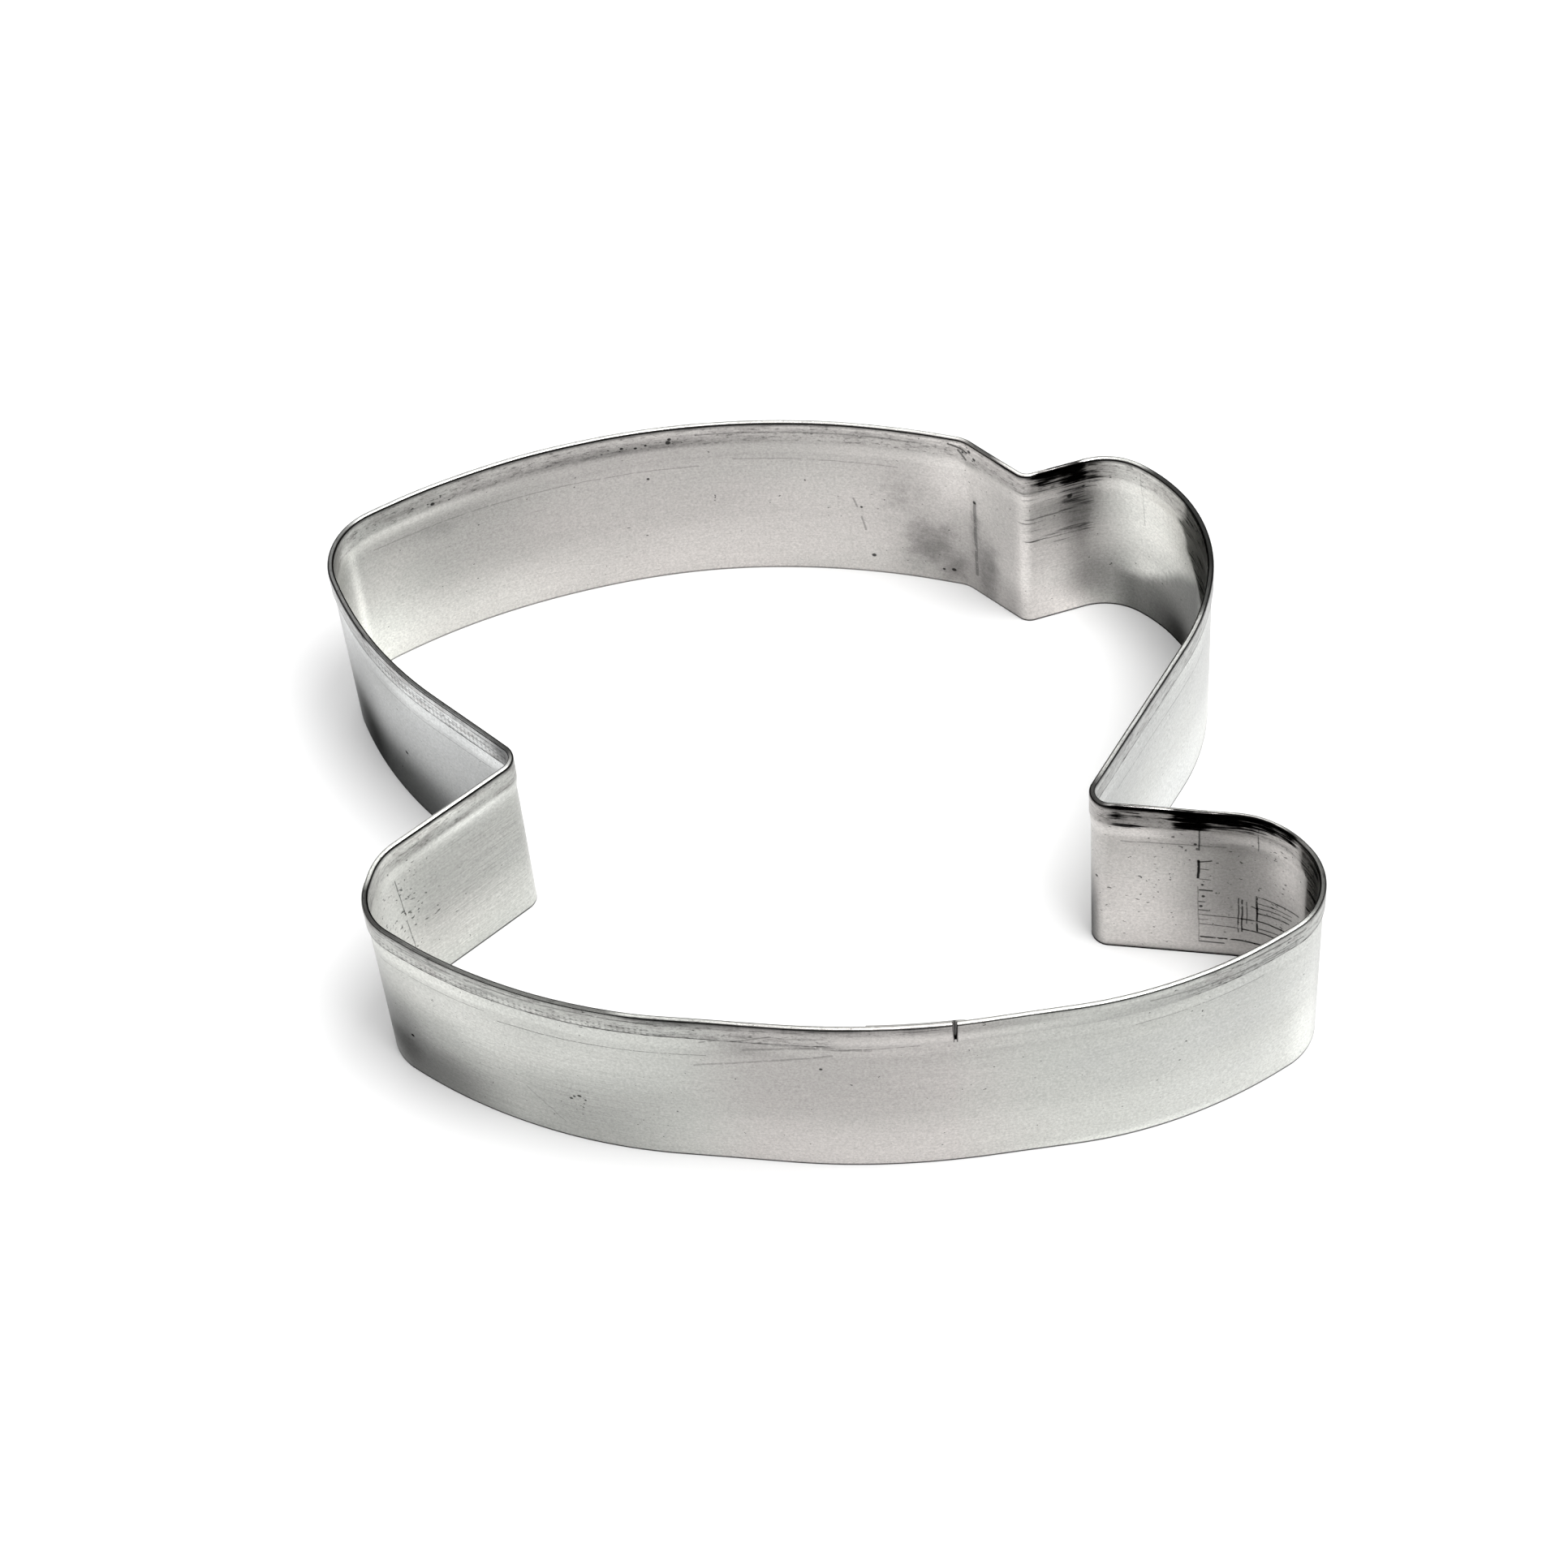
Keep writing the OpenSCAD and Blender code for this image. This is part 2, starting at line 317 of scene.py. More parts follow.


# Stains, marks, and painted reflections, highlights and shade. The facing is 0 for the inside and 1 for the
# outside. A soft patch is given by the length and height of its middle, each with a reach at which it has
# fallen to about a third.

# Soft patches, partly painted reflections, highlights and shade and partly staining: facing, length and its
# reach, height and its reach, and the factor on the tone
SHADE_AND_STAIN_PATCHES = [
    # inside of the cup's rim and left wall
    (0, 144.3, 2.3, 2, 5, 0.75), (0, 146, 4, 4, 6, 0.74), (0, 146, 1.2, 21.6, 0.4, 0.68),
    (0, 147, 4, 24, 1.5, 1.25), (0, 147.5, 4.5, 18, 4.5, 1.38), (0, 152.5, 3.5, 4, 4.5, 0.76),
    (0, 154, 12, 24.6, 0.5, 1.5), (0, 160, 9, 22.4, 0.5, 1.2), (0, 163, 8, 13, 6, 1.14),
    (0, 178, 24, 11, 8, 1.05), (0, 178, 14, 24.1, 0.9, 1.15), (0, 184, 24, 20.7, 1.5, 0.76),
    (0, 186, 12, 22.6, 0.7, 0.7), (0, 190, 42, 22.2, 0.8, 0.88), (0, 204, 9, 3, 4, 1.15),
    (0, 206, 9, 16, 6, 0.88), (0, 211, 9, 18.8, 1.6, 0.86), (0, 212, 7, 21.2, 0.6, 1.22),
    (0, 213, 5, 23.3, 0.8, 0.8), (0, 220.3, 0.7, 14, 9, 1.55), (0, 221, 9, 6, 8, 1.5),
    (0, 221.8, 1.2, 22.3, 0.9, 1.8), (0, 226.5, 2.2, 24.1, 0.9, 0.6),
    # inside of the handle
    (0, 113.5, 3.5, 23, 2.5, 1.2), (0, 117.5, 2.5, 0, 4, 0.4), (0, 119, 4, 1, 4.5, 0.45),
    (0, 121.5, 5.5, 17, 7.5, 2), (0, 122.5, 3, 8.4, 1.5, 1.3), (0, 129.2, 3.6, 4.8, 4.4, 0.5),
    (0, 130, 13, 24.7, 0.5, 1.6), (0, 132, 3, 0.5, 3, 1.5), (0, 132, 2, 18.5, 4.5, 0.5),
    (0, 135.5, 3, 9, 6, 1.27), (0, 138.5, 0.7, 11, 10, 1.35), (0, 140, 2, 1, 4, 0.62),
    # inside of the saucer's two ends
    (0, 51, 2, 18, 3.5, 1.4), (0, 56, 6, 10, 11, 0.72), (0, 57, 9, 19.3, 0.7, 0.8), (0, 58, 7, 7, 5, 0.88),
    (0, 61, 15, 0, 0.42, 0.12), (0, 61.5, 3.2, 20.8, 0.9, 0.54), (0, 66, 5, 14, 9, 1.35),
    (0, 67, 4.5, 23.3, 1.4, 0.7), (0, 72.9, 1.3, 3.5, 7, 0.12), (0, 269, 5, 21.3, 0.7, 1.42),
    (0, 269, 5, 23.4, 0.9, 1.2), (0, 270, 9, 14, 6, 0.88), (0, 270, 6, 22.5, 0.6, 0.85),
    (0, 275, 6, 24.2, 0.8, 1.7), (0, 282, 4.5, 11, 11, 1.38),
    # outside of the cup's right and left walls
    (1, 88, 8, 20.8, 1.2, 0.84), (1, 93, 12, 8, 12, 1.3), (1, 106.5, 3, 23.3, 2, 0.35),
    (1, 230, 2.5, 19, 5, 1.25), (1, 231, 4.2, 3.5, 6.5, 0.42), (1, 233.5, 3.5, 12, 5, 0.74),
    (1, 239, 9, 2.2, 6.8, 0.45), (1, 239, 4, 20.5, 3.5, 0.75), (1, 246, 9, 21, 6, 1.25),
    (1, 249.5, 9, 23.4, 1.3, 1.75), (1, 251, 7, 2, 6, 0.4), (1, 258, 4, 21.5, 2.5, 1.3),
    (1, 260.8, 1.8, 23.8, 1.6, 0.24),
    # outside of the saucer
    (1, 3, 40, 20.8, 1.6, 0.8), (1, 5, 7, 23.9, 0.5, 0.78), (1, 10, 14, 13, 8, 1.12),
    (1, 10, 6, 23.5, 1.8, 1.1), (1, 19, 13, 0.5, 0.7, 1.35), (1, 22, 10, 24.6, 0.4, 1.3),
    (1, 24, 14, 22.7, 1.3, 0.88), (1, 27, 10, 23.6, 1.6, 0.95), (1, 28, 8, 12, 9, 1.14),
    (1, 36, 1.6, 6, 8, 0.9), (1, 39.3, 5, 10, 12, 1.42), (1, 42.5, 1.5, 8, 12, 0.8),
    (1, 44.5, 2.5, 23.3, 2, 0.45), (1, 286, 2, 23.3, 1.2, 1.9), (1, 289.5, 4, 7, 7, 0.38),
    (1, 293, 9, 3, 5, 0.27), (1, 296, 4, 12, 3, 0.82), (1, 296, 9, 17, 7, 1.28),
    (1, 300, 8, 23.6, 1.5, 1.13), (1, 303, 6, 4, 4.5, 1.28), (1, 306, 9, 14, 6, 1.18),
    (1, 311, 12, 4, 6, 0.68), (1, 311, 7, 22.4, 0.6, 1.35), (1, 318, 9, 17, 5, 1.18),
    (1, 326, 4, 24.5, 0.5, 0.7), (1, 331, 3, 20.6, 1.2, 0.75), (1, 340, 14, 15, 6, 0.92),
    (1, 340, 22, 24.4, 0.5, 0.75), (1, 349, 12, 22.6, 0.7, 1.2),
]

# Painted dark reflections that stay dark at a grazing view: the same, with the factor on the tint there
DARK_REFLECTIONS = [
    # outside of the cup's right and left walls
    (1, 231, 4, 2.5, 6.5, 0.45), (1, 239, 9, 1.6, 6.2, 0.17),
]

# Smudges with a cloudy outline: the same, with their strength
SMUDGES = [
    # inside of the cup's rim and left wall
    (0, 143.8, 1.8, 5, 6, 0.75), (0, 145.6, 0.9, 11, 6, 0.6), (0, 148.8, 2.4, 3, 3, 0.7),
    (0, 151.3, 3.4, 6.5, 4.5, 0.8), (0, 154, 4, 13.5, 5, 0.42), (0, 209, 3, 17.5, 2, 0.35),
    # inside of the handle
    (0, 132, 1.6, 13, 4, 0.5),
    # outside of the saucer
    (1, 314, 7, 5, 3, 0.1),
]

# Where dark pits crowd together: the same, with how close
PITS = [
    # inside of the cup's rim and left wall
    (0, 146.5, 2, 22, 3, 1), (0, 184, 6, 22.7, 0.7, 1), (0, 208, 4, 23, 1, 1),
    # inside of the saucer's two ends
    (0, 51, 3, 10, 7, 1), (0, 52, 3.5, 20.5, 1.6, 1), (0, 56, 5, 12, 8, 0.5), (0, 62, 3, 19.5, 1.5, 1),
    (0, 66, 7, 10, 10, 0.55), (0, 279, 4.5, 14, 11, 1), (0, 281.5, 2, 14, 9, 1),
    # outside of the saucer
    (1, 312, 2, 7, 2, 1),
]

# Where the lengthwise grain is coarse: the same, with how much
BRUSHED = [
    # inside of the handle
    (0, 134, 5, 16, 7, 0.6),
    # inside of the saucer's two ends
    (0, 269, 9, 11, 12, 1),
    # outside of the cup's right and left walls
    (1, 90, 16, 19, 4, 0.6),
    # outside of the saucer
    (1, 305, 16, 8, 9, 0.7),
]

# Near-black streaked patches: facing, from and to length, from and to height, strength
BLACK_STREAKS = [
    # inside of the handle
    (0, 129, 131.4, 21.3, 26, 0.52), (0, 130.2, 139, 12.5, 22.4, 0.32), (0, 130.8, 134.4, 18.4, 22.4, 0.52),
    (0, 130.8, 134.4, 22, 24.4, 0.95), (0, 131, 137.8, 24, 26, 1), (0, 133.2, 137.4, 22.2, 24.4, 0.74),
    # inside of the saucer's two ends
    (0, 49.6, 53, 23.4, 26, 0.92), (0, 52, 64.4, 23.2, 26, 1), (0, 53, 60.4, 22.1, 23.8, 0.58),
    (0, 54, 57.6, 22, 23.6, 0.74), (0, 59.6, 63.8, 21.9, 23.8, 0.95), (0, 63.4, 70.6, 24.1, 26, 0.85),
    (0, 64, 67, 22.6, 23.6, 0.42), (0, 66.8, 68.1, 23.3, 24.6, 0.9), (0, 66.9, 70.3, 21.5, 22.4, 0.74),
    (0, 68.4, 70.5, 22.9, 24.2, 0.75),
]

# Fine ticks pressed in by the feed rollers: the same
TICKS = [(1, 236, 262, 22.25, 23.9, 1), (1, 288, 322, 22.2, 23.2, 1)]

# Where the hem is clean: the same
CLEAN = [(1, -2, 24, 21.3, 26, 1), (1, 340, 360, 21.3, 24, 1)]

# The top of the fold, with a painted highlight and painted dark reflections: the length from which a row
# holds, and the tones of the inner shoulder, the top and the outer shoulder
RIDGE_REFLECTIONS = [
    (0, 2, 1, 0.75), (9, 2, 1, 0.42), (27, 2, 1, 0.55), (39, 0.12, 0.28, 0.2), (52, 0.03, 0.9, 0.9),
    (70, 0.15, 0.1, 0.25), (75.2, 0.5, 0.9, 0.11), (100, 0.12, 0.12, 0.1), (107, 0.1, 0.05, 0.12),
    (124, 0.06, 0.7, 0.8), (130, 0.03, 1, 1), (142, 0.35, 0.12, 0.3), (147, 0.13, 1, 1),
    (219, 0.1, 0.3, 0.12), (238, 0.1, 0.16, 0.85), (262, 0.12, 1, 1), (284, 0.05, 0.1, 0.5),
    (293, 0.5, 0.24, 0.55), (318, 2, 0.9, 0.14), (343, 2, 1, 0.5),
]

# Tint by length, inside and outside: -1 cool, 0 faintly green, 1 warm
WARMTH = [
    [
        (0, 0), (44, 0), (50, 1), (76, 1), (84, 0), (112, 0), (126, 0.2), (132, 1), (198, 0.9),
        (212, 0.4), (222, 0), (352, 0),
    ],
    [
        (0, 0.8), (8, 0.2), (14, 0), (60, -0.4), (110, -0.6), (219, -1), (262, -0.9), (284, 0),
        (324, 0.05), (332, 1), (352, 1),
    ],
]

# The wall's tone by height: a painted reflection, lighter near the foot and darker up the wall, and a painted
# highlight band just under the hem; the hem is darker again
WALL_SHADING_BY_HEIGHT = [
    (0, 1.12), (2, 1.12), (6, 1), (10, 0.84), (17, 0.8), (19.5, 0.82), (20.2, 1), (21.4, 1), (22, 0.8),
    (25, 0.8),
]

# Two zones inside with a painted dark reflection, darker up to a sharp edge: that edge's length by height,
# the length to which they fade away, their foot, and the factors on tone and tint
DARK_REFLECTION_ZONES = [
    (
        [
            (10, 112), (13, 112.8), (14, 113.2), (17, 116.6), (19, 117.2), (20, 117.9), (21, 118.5),
            (22, 117.4), (25, 117),
        ],
        104, 8, 0.45, 0.22,
    ),
    ([(11, 48.3), (20, 48.3), (22, 49.3), (25, 49.3)], 40, 11, 0.45, 0.12),
]
# streaks within the painted dark reflections
REFLECTION_STREAKS = 0.42

# Low inside the handle, a painted reflection of the metal's own shaded side: the height of that shade by
# length
SHADE_TOP = [(113, 15), (115.5, 13.2), (118, 11.6), (120, 9.6), (122, 7.9), (124, 6.2), (126, 6), (128, 6.5)]
SHADE_SPAN = (112, 128)
SHADE = 0.38

# The tone of the line along the cutting edge, inside by length. Outside, it is the first value.
FOOT_LINE = [(138, 0.12), (146, 0.42), (219, 0.42), (224, 0.12)]

# The slit is painted near black: painted shade in the narrow gap at the seam
SLIT_SHADE = 0.06
SLIT_REACH = 0.27  # from the seam, a little more than half the slit's width


def by_knots(value, knots):
    return np.interp(value, *zip(*knots))


def ridge_reflection_level(s, column):
    """One of the ridge's painted reflection tones at length s. It changes over 2 mm from one stretch to the
    next.
    """
    knots = []
    for k, row in enumerate(RIDGE_REFLECTIONS):
        knots += [(row[0] - 1, RIDGE_REFLECTIONS[k - 1][column]), (row[0] + 1, row[column])]
    return by_knots(np.mod(s + 1, OUTLINE.total) - 1, knots)


def painted_ridge_reflection(s, out):
    """The painted highlight and dark reflections over the top of the fold, from the inside (out is 0) to the
    outside (out is 1).
    """
    inner, top, outer = (ridge_reflection_level(s, column) for column in (1, 2, 3))
    knots = [
        (0.0, inner ** 0.4), (0.08, inner ** 0.8), (0.15, inner), (0.26, inner),
        (0.37, 1.9 * top), (0.5, 2.1 * top), (0.63, 1.9 * top),
        (0.75, 1.3 * outer), (0.84, 1.3 * outer), (0.94, outer ** 0.5), (1.0, outer ** 0.25),
    ]
    tone = np.ones_like(s)
    for (a, low), (b, high) in zip(knots, knots[1:]):
        t = (out - a) / (b - a)
        tone = np.where((t >= 0) & (t <= 1), low + (high - low) * t, tone)
    return tone


def on_face(out, facing):
    """1 on the face that looks that way, 0 on the other, with a soft change over the fold."""
    return np.clip(1.6 - 2 * np.abs(out - facing), 0, 1)


def near(s, z, out, facing, at, reach, height, rise):
    """A soft patch: 1 in its middle, and about a third at its reach along the strip or up it."""
    along = (s - at + OUTLINE.total / 2) % OUTLINE.total - OUTLINE.total / 2
    return np.exp(-np.abs(along / reach) ** 2.6 - np.abs((z - height) / rise) ** 2.6) * on_face(out, facing)


def block(s, z, out, facing, start, end, low, high):
    """A patch between two lengths and two heights, with short soft edges."""
    along = np.clip(np.minimum(s - start, end - s) / 1.6 + 0.5, 0, 1)
    up = np.clip(np.minimum(z - low, high - z) / 0.7 + 0.5, 0, 1)
    return along * up * on_face(out, facing)


def most_of(patches, shape, s, z, out):
    """The strongest of the patches at each point."""
    total = np.zeros_like(s)
    for *place, strength in patches:
        total = np.maximum(total, strength * shape(s, z, out, *place))
    return total


def product_of(patches, s, z, out):
    """The factors of all the round patches at each point, multiplied together."""
    total = np.ones_like(s)
    for *place, factor in patches:
        total = total * factor ** near(s, z, out, *place)
    return total


def surface_layers(s, z, out):
    """Tone with painted reflections, highlights and shade, near-black streaks and other marks at each point
    of the strip.
    """
    tone = by_knots(z, WALL_SHADING_BY_HEIGHT) * product_of(SHADE_AND_STAIN_PATCHES, s, z, out)
    # painted highlight and dark reflections over the fold
    tone = np.where(z > FOLD_Z - 0.02, tone * painted_ridge_reflection(s, out), tone)
    # the tint that keeps painted dark reflections dark at a grazing view
    reflection_tint = product_of(DARK_REFLECTIONS, s, z, out)
    black_streaks = most_of(BLACK_STREAKS, block, s, z, out)

    inside = np.clip(1 - 3 * out, 0, 1)
    # painted dark reflections in the two zones, with their streaks
    for edge, far, foot, depth, tint in DARK_REFLECTION_ZONES:
        dark = np.clip((by_knots(z, edge) - s) / 0.5, 0, 1) * np.clip((s - far) / 6, 0, 1)
        dark = dark * np.clip((z - foot) / 4, 0, 1) * inside
        tone = tone * depth ** dark
        reflection_tint = reflection_tint * tint ** dark
        black_streaks = np.maximum(black_streaks, REFLECTION_STREAKS * dark)
    # painted shade: the mirrored shaded side low inside the handle
    start, end = SHADE_SPAN
    shade = np.clip((by_knots(s, SHADE_TOP) - z) / 1.4 + 0.5, 0, 1)
    shade = shade * np.clip((s - start) / 2, 0, 1) * np.clip((end - s) / 2.5, 0, 1) * inside
    tone = tone * SHADE ** shade
    # the slit painted near black, as painted shade in the gap
    from_seam = np.abs((s + 5) % OUTLINE.total - 5)
    tone = np.where((from_seam < SLIT_REACH) & (z > STEP_TOP - 0.01), SLIT_SHADE, tone)

    warm_in, warm_out = (by_knots(np.mod(s, OUTLINE.total), knots) for knots in WARMTH)
    turn = 2 * np.pi * s / OUTLINE.total
    ring = OUTLINE.total / (2 * np.pi)
    return {
        "strip_s": s,
        "strip_z": z,
        "strip_out": out,
        "strip_x": ring * np.cos(turn),
        "strip_y": ring * np.sin(turn),
        "strip_tone_and_shading": tone,
        "strip_reflection_tint": reflection_tint,
        "strip_black_streaks": black_streaks,
        "strip_smudge": most_of(SMUDGES, near, s, z, out),
        "strip_pits": most_of(PITS, near, s, z, out),
        "strip_brushed": most_of(BRUSHED, near, s, z, out),
        "strip_ticks": most_of(TICKS, block, s, z, out),
        "strip_clean": most_of(CLEAN, block, s, z, out),
        "strip_foot": np.where(out < 0.5, by_knots(s, FOOT_LINE), FOOT_LINE[0][1]),
        "strip_warmth": warm_in + (warm_out - warm_in) * np.clip(2 * out - 0.5, 0, 1),
    }


# Materials

class Nodes:
    """Short calls for building a node tree. A value is a number, a tuple or another node's output."""

    def __init__(self, name):
        self.material = bpy.data.materials.new(name)
        self.material.use_nodes = True
        self.tree = self.material.node_tree
        self.bsdf = self.tree.nodes["Principled BSDF"]

    def link(self, value, socket):
        if isinstance(value, (int, float, tuple)):
            socket.default_value = value
        else:
            self.tree.links.new(value, socket)

    def add(self, kind, values, **settings):
        """A node with its settings, and its first inputs set to the values."""
        node = self.tree.nodes.new("ShaderNode" + kind)
        for key, setting in settings.items():
            setattr(node, key, setting)
        for socket, value in zip(node.inputs, values):
            self.link(value, socket)
        return node

    def math(self, operation, *values):
        return self.add("Math", values, operation=operation).outputs[0]

    def times(self, *values):
        product = values[0]
        for value in values[1:]:
            product = self.math("MULTIPLY", product, value)
        return product

    def spread(self, noise, by, middle):
        """A noise around 0.5, brought to the given middle and made to swing by that much."""
        return self.math("MULTIPLY_ADD", self.math("SUBTRACT", noise, 0.5), by, middle)

    def ramp(self, value, low, high, to_low=0.0, to_high=1.0, smooth=True):
        kind = "SMOOTHSTEP" if smooth else "LINEAR"
        return self.add("MapRange", (value, low, high, to_low, to_high), interpolation_type=kind).outputs[0]

    def attribute(self, name):
        return self.add("Attribute", (), attribute_name=name).outputs["Fac"]

    def vector(self, x, y, z):
        return self.add("CombineXYZ", (x, y, z)).outputs[0]

    def vector_math(self, operation, a, b=(0.0, 0.0, 0.0), scale=1.0):
        node = self.add("VectorMath", (), operation=operation)
        for k, value in ((0, a), (1, b), (3, scale)):
            self.link(value, node.inputs[k])
        return node.outputs["Value" if operation in ("DISTANCE", "DOT_PRODUCT") else "Vector"]

    def noise(self, vector, scale, detail, rough):
        node = self.add("TexNoise", ())
        for name, value in (("Vector", vector), ("Scale", scale), ("Detail", detail), ("Roughness", rough)):
            self.link(value, node.inputs[name])
        return node.outputs["Fac"]

    def mix(self, factor, a, b):
        node = self.add("Mix", (), data_type="RGBA")
        for k, value in ((0, factor), (6, a), (7, b)):
            self.link(value, node.inputs[k])
        return node.outputs[2]

    def bump(self, height, strength, distance):
        node = self.add("Bump", ())
        for name, value in (("Height", height), ("Strength", strength), ("Distance", distance)):
            self.link(value, node.inputs[name])
        return node.outputs[0]

    def scratch(self, where, start, end, width, keep):
        """A straight mark from start to end: the factor that it leaves of the tone."""
        start, end = Vector(start), Vector(end)
        path = end - start
        past = self.vector_math("SUBTRACT", where, tuple(start))
        share = self.vector_math("DOT_PRODUCT", past, tuple(path / path.length_squared))
        share = self.math("MINIMUM", self.math("MAXIMUM", share, 0.0), 1.0)
        away = self.vector_math("DISTANCE", past, self.vector_math("SCALE", tuple(path), scale=share))
        return self.ramp(away, width * 0.3, width * 0.7, keep, 1.0)


# Scratches and lines: facing, length and height at both ends, width, and how much of the tone is left
SCRATCHES = [
    # a bending line with short ticks, inside the saucer's right end
    (0, 60.8, 22, 60.8, 18.6, 0.18, 0.25), (0, 60.8, 16.6, 60.8, 13.6, 0.3, 0.05),
    (0, 60.8, 12, 60.5, 2.2, 0.14, 0.62), (0, 60.8, 16.4, 59.4, 16.7, 0.2, 0.15),
    (0, 60.6, 15.2, 59.8, 15.2, 0.16, 0.35), (0, 60.6, 13.4, 59.5, 13.4, 0.16, 0.35),
    (0, 60.6, 11.5, 59.3, 11.5, 0.24, 0.12), (0, 60.6, 9.4, 59.6, 9.4, 0.2, 0.25),
    (0, 60.6, 7.9, 59.4, 7.9, 0.2, 0.25), (0, 60.6, 6.3, 59.6, 6.3, 0.16, 0.4),
    (0, 54.5, 23.4, 54.5, 19.6, 0.14, 0.35),
    # crossing scratches beside it
    (0, 56.4, 10.6, 56.3, 4.6, 0.16, 0.2), (0, 56, 10.4, 55.9, 4.8, 0.19, 0.16),
    (0, 55.5, 10.2, 55.4, 6.4, 0.14, 0.33), (0, 54.4, 11.6, 54.2, 5.6, 0.24, 0.07),
    (0, 54.9, 9.6, 54.2, 9.4, 0.19, 0.2), (0, 54.4, 11.6, 52, 11.7, 0.19, 0.2),
    (0, 52, 11.7, 49, 12.2, 0.22, 0.16), (0, 54.3, 10.4, 50, 11.1, 0.16, 0.26),
    (0, 54.3, 9.6, 50, 10.4, 0.19, 0.2), (0, 54.3, 8.7, 50.3, 9.5, 0.22, 0.13),
    (0, 60.5, 7.1, 56, 7, 0.16, 0.26), (0, 56, 7, 50.5, 7.8, 0.24, 0.08), (0, 54, 6, 51, 6.6, 0.19, 0.2),
    (0, 60.5, 5.5, 55.8, 5.2, 0.16, 0.26), (0, 55.8, 5.2, 51.5, 5.6, 0.24, 0.1),
    (0, 60.3, 3.1, 54.4, 3.1, 0.27, 0.07), (0, 54.4, 3.1, 52, 3.5, 0.27, 0.1),
    (0, 60.4, 2.3, 57.8, 2.2, 0.24, 0.23), (0, 69, 19, 58, 19.3, 0.19, 0.6),
    # inside the saucer's left bend
    (0, 279.3, 19.6, 278.9, 13, 0.14, 0.4), (0, 278.9, 12, 278.5, 6.5, 0.14, 0.5),
    # inside the cup's back wall and its handle
    (0, 217, 18.9, 178, 18.2, 0.18, 0.74), (0, 174, 19, 155, 18.6, 0.18, 0.75),
    (0, 145.7, 15.5, 145.6, 3, 0.46, 0.52), (0, 148.8, 24.1, 146.4, 23.4, 0.3, 0.22),
    (0, 147.6, 23.3, 146.6, 22.2, 0.34, 0.3), (0, 178, 23.6, 152, 23.4, 0.24, 0.62),
    (0, 159.6, 9.6, 159.2, 7.4, 0.25, 0.62), (0, 160.4, 12.6, 160, 11.2, 0.25, 0.62),
    (0, 124.4, 24, 123.8, 15.5, 0.12, 0.75), (0, 134.5, 20.9, 129.8, 20.6, 0.2, 0.66),
    (0, 136.5, 17.8, 130.5, 16.7, 0.2, 0.72),
    # outside: the forming line under the hem, and others
    (1, 238, 18.9, 257.5, 19.3, 0.12, 0.55), (1, 289.5, 19, 303, 19.2, 0.12, 0.55),
    (1, 304.5, 18.2, 315, 18.6, 0.14, 0.45), (1, 315, 18.6, 327, 18.9, 0.12, 0.5),
    (1, 18.5, 19.8, 33, 19.9, 0.12, 0.6), (1, 30, 22.9, 37.6, 23, 0.18, 0.45),
    (1, 79, 18.3, 101, 18.2, 0.2, 0.62), (1, 80, 21.6, 98, 21.4, 0.2, 0.55),
    (1, 349, 21.4, 340, 21, 0.12, 0.65), (1, 238, 24.2, 260, 24.3, 0.2, 0.4),
    (1, 240, 23.2, 258, 23.3, 0.16, 0.55), (1, 290, 24.1, 322, 24.2, 0.2, 0.5),
    (1, 326.5, 21, 334, 23.4, 0.22, 0.6), (1, 331, 20.4, 344, 22, 0.3, 0.7),
    (1, 325.5, 17, 340, 20.2, 0.3, 0.7), (1, 328, 21.7, 344, 21, 0.4, 0.72),
    (1, 306.5, 7.4, 310.5, 2.6, 0.12, 0.72), (1, 29, 24.2, 38, 24, 0.24, 0.45),
    (1, 20, 23.6, 36, 22.4, 0.2, 0.62),
]

# Single dark pits: facing, length, height, width
SPOTS = [
    # inside of the cup's rim and left wall
    (0, 145.3, 23, 0.5), (0, 145.7, 15.4, 0.5), (0, 146, 23.8, 0.5), (0, 147, 23.2, 0.4),
    (0, 148.8, 2.4, 0.6), (0, 150, 2.2, 0.4), (0, 158.4, 3, 0.6), (0, 159.5, 11.2, 0.35),
    (0, 181, 23.3, 0.5), (0, 181.2, 22.8, 0.7), (0, 183.8, 22.8, 0.35), (0, 184, 17, 0.4),
    (0, 185, 22.6, 0.4), (0, 186.6, 22.9, 0.45), (0, 209.2, 22.4, 0.6),
    # inside of the handle
    (0, 131.4, 21, 0.4), (0, 133, 19.8, 0.7),
    # inside of the saucer's two ends
    (0, 60.2, 10.4, 0.45), (0, 60.3, 12.4, 0.35), (0, 60.4, 8.6, 0.45), (0, 61.2, 19.4, 0.4),
    (0, 71.6, 12, 0.4),
    # outside of the cup's right and left walls
    (1, 241.8, 9, 0.6),
    # outside of the saucer
    (1, 292, 7, 0.5), (1, 311.6, 7.5, 0.4), (1, 312, 8, 0.35), (1, 312.6, 8.3, 0.5), (1, 313.2, 7.7, 0.3),
    (1, 338.8, 17.8, 0.4),
]
SPOT_TONE = 0.12

# Noise on the strip: how fine it is along and up the strip, its detail and its roughness
GRAINS = {
    "hair": (0.22, 9.0, 4.0, 0.65),  # brushed lines
    "fine": (0.8, 50.0, 2.0, 0.5),  # the bump's hairlines
    "cloud": (0.05, 0.10, 3.0, 0.5),  # slow changes of tone and tint
    "dust": (3.4, 3.6, 3.0, 0.75),
    "stain": (0.35, 1.3, 5.0, 0.7),
    "fleck": (1.1, 3.4, 3.0, 0.7),
    "streak": (0.16, 2.6, 4.0, 0.65),
    "pit": (1.7, 2.2, 1.5, 0.5),
    "billow": (0.5, 0.6, 4.0, 0.62),  # the outline of smudges
    "wobble": (0.5, 0.5, 2.0, 0.5),  # bends the scratches
    "gaps": (1.2, 1.2, 3.0, 0.6),  # breaks the scratches
}

